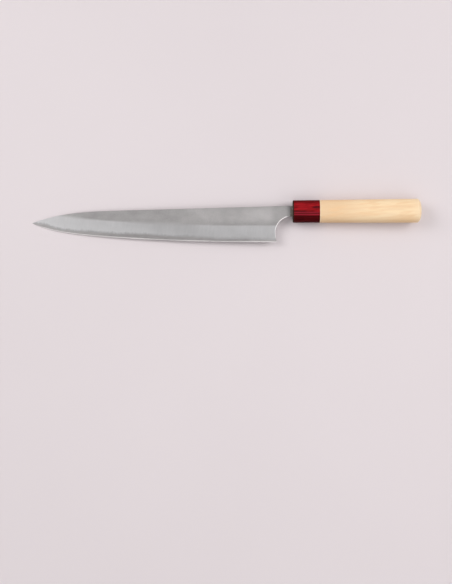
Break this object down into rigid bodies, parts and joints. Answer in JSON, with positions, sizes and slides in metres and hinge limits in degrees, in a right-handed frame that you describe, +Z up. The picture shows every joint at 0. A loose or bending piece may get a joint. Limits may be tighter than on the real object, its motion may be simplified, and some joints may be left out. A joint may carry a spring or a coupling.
{
  "type": "sujihiki knife",
  "caption": "Long, narrow, double-bevelled slicing knife: laminated steel blade with a hollow choil, red ferrule and oval pale-wood handle. It draws thin slices of meat or fish.",
  "frame": {"origin": "middle of the knife's length and width, on the surface that it lies on", "axes": "+X along the knife from the point to the butt, +Y from the cutting edge to the spine, +Z up out of the blade's left face"},
  "size_m": [0.4278, 0.0464, 0.0239],
  "materials": {
    "core_steel": "hard core steel, hazy dark along the edge with a bright sharpened line",
    "cladding_steel": "satin: matt pear-skin flats over finely ground bevels",
    "red_laminate": "resin-filled wood veneers in dark and bright reds, polished",
    "pale_wood": "bare magnolia, sanded smooth, faint grain",
    "glue": "cured wood glue",
    "bedding_resin": "cured resin with charred wood",
    "sealing_wax": "dark wax, dull"
  },
  "bodies": {
    "root": {"core_steel": "core_steel", "left_cladding": "cladding_steel", "right_cladding": "cladding_steel", "ferrule": "red_laminate", "handle_body": "pale_wood", "tenon_glue": "glue", "tang_bedding": "bedding_resin", "mouth_seal": "sealing_wax"}
  },
  "joints": []
}
